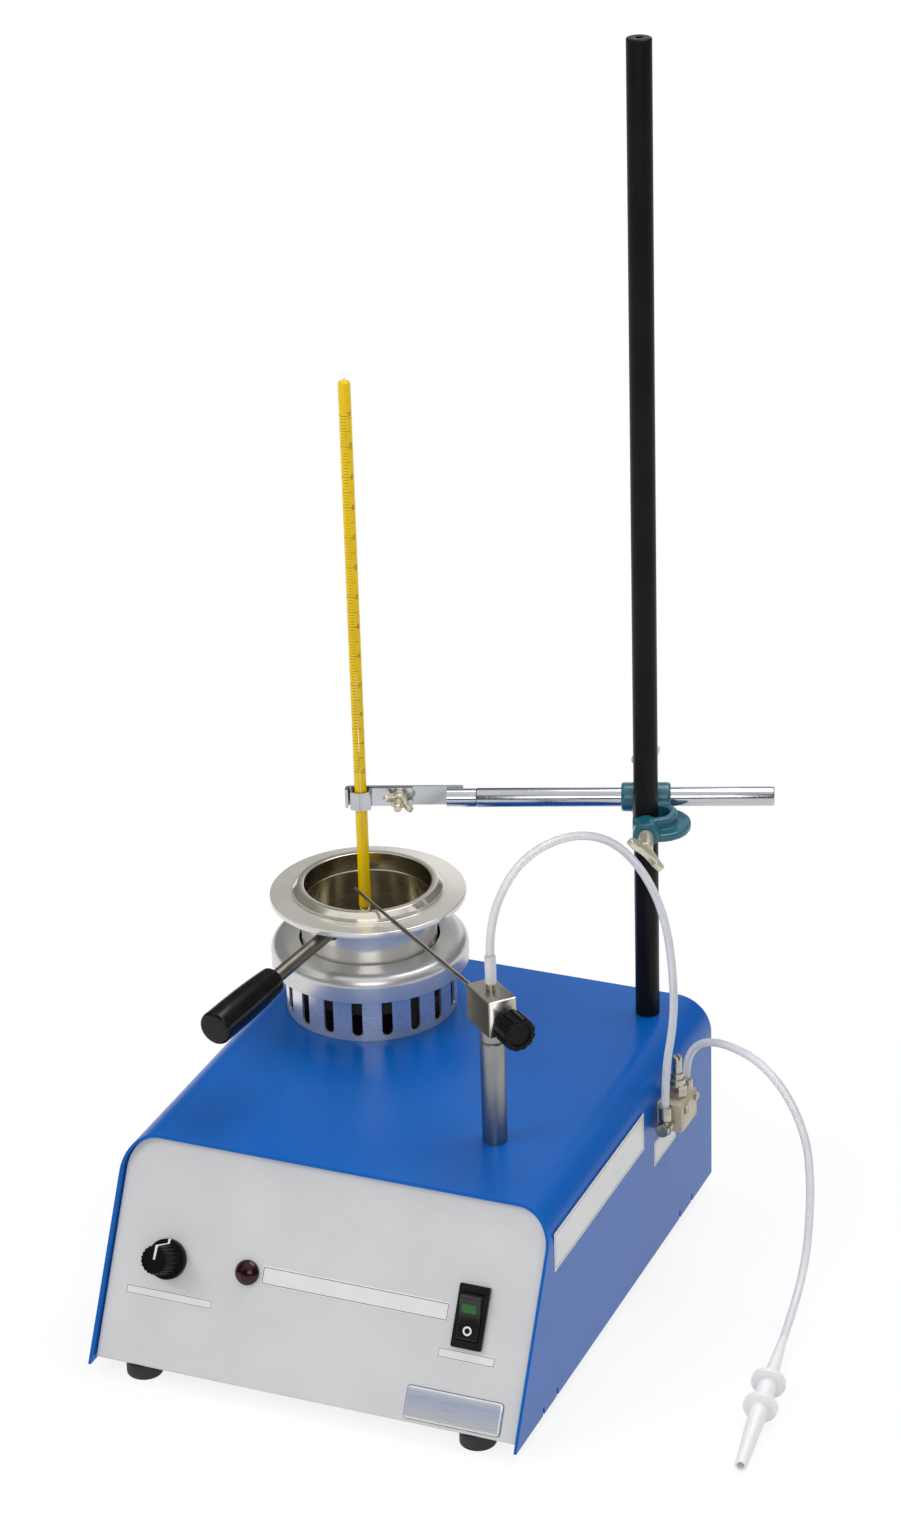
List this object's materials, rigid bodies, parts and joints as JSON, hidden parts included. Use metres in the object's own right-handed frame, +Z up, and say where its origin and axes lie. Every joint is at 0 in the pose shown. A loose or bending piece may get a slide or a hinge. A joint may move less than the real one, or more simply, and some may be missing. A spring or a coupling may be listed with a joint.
{
  "type": "flash point tester",
  "caption": "Open cup flash point tester: bench case with electric heater, removable test cup, swinging gas test flame, thermometer on a stand rod and clamp.",
  "frame": {"origin": "underside of the grey tray, at the middle of the case's width and depth; the rubber feet reach 7.5 mm below it", "axes": "+Z up, -Y out of the front panel, +X to the side with the gas valve"},
  "size_m": [0.3217, 0.2878, 0.603],
  "materials": {
    "blue_paint": "fine textured blue powder coat",
    "grey_paint": "textured light grey powder coat",
    "silver_plate": "silvered, domed clear coat",
    "foot_rubber": "matt black rubber",
    "zinc_steel": "zinc plated",
    "black_plastic": "matt black moulding",
    "red_lens": "dark red translucent lens",
    "switch_black": "glossy black moulding",
    "board_green": "green laminate",
    "bare_aluminium": "as extruded",
    "ceramic": "unglazed ceramic",
    "brushed_plate": "turned, heat tinted",
    "guard_steel": "polished sheet",
    "cover_metal": "satin spun",
    "cup_nickel": "warm nickel plate, polished",
    "handle_steel": "dark drawn steel",
    "grip_black": "glossy black phenolic moulding",
    "post_steel": "turned stainless",
    "block_steel": "brushed stainless",
    "tube_steel": "drawn stainless",
    "knob_black": "black moulding",
    "valve_nickel": "dull nickel plate",
    "valve_beige": "satin nickel casting",
    "hose_silicone": "translucent silicone",
    "connector_white": "white moulding",
    "stand_black": "satin black coat",
    "head_teal": "glossy teal enamel on casting",
    "screw_nickel": "nickel plate, worn",
    "arm_chrome": "bright chrome",
    "thermometer_yellow": "yellow backed glass",
    "clear_glass": "clear glass"
  },
  "bodies": {
    "root": {"banjo_bolts": "valve_nickel", "blank_plate": "silver_plate", "blue_shell": "blue_paint", "board_standoffs": "zinc_steel", "burner_collar": "post_steel", "burner_hose": "hose_silicone", "burner_post": "post_steel", "case_screws": "zinc_steel", "ceramic_standoffs": "ceramic", "collar_screw": "zinc_steel", "control_board": "board_green", "grey_tray": "grey_paint", "heater_coil": "zinc_steel", "heater_cover": "cover_metal", "heater_former": "ceramic", "heater_plate": "brushed_plate", "heater_shield": "guard_steel", "hose_connector": "connector_white", "hose_cuff": "hose_silicone", "inlet_screws": "zinc_steel", "lamp_body": "black_plastic", "lamp_lens": "red_lens", "mains_inlet": "black_plastic", "pot_nut": "zinc_steel", "regulator_pot": "black_plastic", "rubber_feet": "foot_rubber", "stud_nuts": "zinc_steel", "supply_hose": "hose_silicone", "switch_frame": "switch_black", "terminal_block": "board_green", "triac_heatsink": "bare_aluminium", "valve_body": "valve_beige", "valve_bonnet": "valve_nickel", "valve_nipples": "valve_nickel", "valve_screws": "zinc_steel"},
    "burner": {"burner_block": "block_steel", "flame_tube": "tube_steel", "flame_nozzle": "tube_steel", "packing_nut": "black_plastic", "burner_nipple": "valve_nickel"},
    "burner_valve": {"burner_knob": "knob_black", "burner_needle": "tube_steel"},
    "gas_spindle": {"valve_spindle": "valve_nickel"},
    "regulator": {"regulator_knob": "black_plastic", "regulator_shaft": "zinc_steel"},
    "rocker": {"switch_rocker": "switch_black"},
    "test_cup": {"cup": "cup_nickel", "handle_rod": "handle_steel", "handle_grip": "grip_black"},
    "stand": {"stand_rod": "stand_black"},
    "head": {"boss_head": "head_teal"},
    "rod_clamp": {"rod_screw": "screw_nickel"},
    "arm_clamp": {"arm_screw": "screw_nickel"},
    "arm": {"arm_rod": "arm_chrome", "clamp_shank": "arm_chrome", "clamp_bolt": "screw_nickel"},
    "jaw": {"clamp_jaw": "arm_chrome"},
    "jaw_nut": {"wing_nut": "screw_nickel"},
    "thermometer": {"thermometer_stem": "thermometer_yellow", "thermometer_glass": "clear_glass"}
  },
  "joints": [
    {"name": "burner_swing", "type": "hinge", "parent": "root", "child": "burner", "pos_m": [0.06, -0.031, 0.1598], "axis": [0, 0, 1], "range_deg": [-40, 50]},
    {"name": "burner_valve_turn", "type": "hinge", "parent": "burner", "child": "burner_valve", "pos_m": [0.0688, -0.03849, 0.168], "axis": [0.7615, -0.6481, 0], "range_deg": [0, 720]},
    {"name": "gas_adjust_turn", "type": "hinge", "parent": "root", "child": "gas_spindle", "pos_m": [0.1167, 0.06565, 0.1], "axis": [0, 0, 1], "range_deg": [0, 720]},
    {"name": "heat_regulator_turn", "type": "hinge", "parent": "root", "child": "regulator", "pos_m": [-0.0785, -0.10561, 0.04661], "axis": [0, -0.8799, 0.4751], "range_deg": [-140, 140]},
    {"name": "power_switch_rock", "type": "hinge", "parent": "root", "child": "rocker", "pos_m": [0.077, -0.10499, 0.04776], "axis": [-1, 0, 0], "range_deg": [0, 20]},
    {"name": "cup_turn", "type": "hinge", "parent": "root", "child": "test_cup", "pos_m": [-0.0505, 0.0774, 0.13], "axis": [0, 0, 1], "range_deg": [-180, 90]},
    {"name": "stand_turn", "type": "hinge", "parent": "root", "child": "stand", "pos_m": [0.0844, 0.1121, 0.0985], "axis": [0, 0, 1], "range_deg": [-6, 3]},
    {"name": "head_height", "type": "slide", "parent": "stand", "child": "head", "axis": [0, 0, 1], "range_m": [-0.002, 0.3]},
    {"name": "rod_screw_turn", "type": "hinge", "parent": "head", "child": "rod_clamp", "pos_m": [0.09036, 0.09564, 0.2048], "axis": [0.3404, -0.9403, 0], "range_deg": [0, 720]},
    {"name": "arm_screw_turn", "type": "hinge", "parent": "head", "child": "arm_clamp", "pos_m": [0.07895, 0.12715, 0.219], "axis": [0, 0, 1], "range_deg": [0, 720]},
    {"name": "arm_slide", "type": "slide", "parent": "head", "child": "arm", "axis": [0.9403, 0.3404, 0], "range_m": [-0.018, 0.018]},
    {"name": "jaw_open", "type": "slide", "parent": "arm", "child": "jaw", "axis": [0.3404, -0.9403, 0], "range_m": [0, 0.003]},
    {"name": "wing_nut_turn", "type": "hinge", "parent": "jaw", "child": "jaw_nut", "pos_m": [-0.03497, 0.08431, 0.21], "axis": [0.3404, -0.9403, 0], "range_deg": [0, 720]},
    {"name": "thermometer_slide", "type": "slide", "parent": "arm", "child": "thermometer", "axis": [0, 0, 1], "range_m": [-0.002, 0.12]}
  ]
}
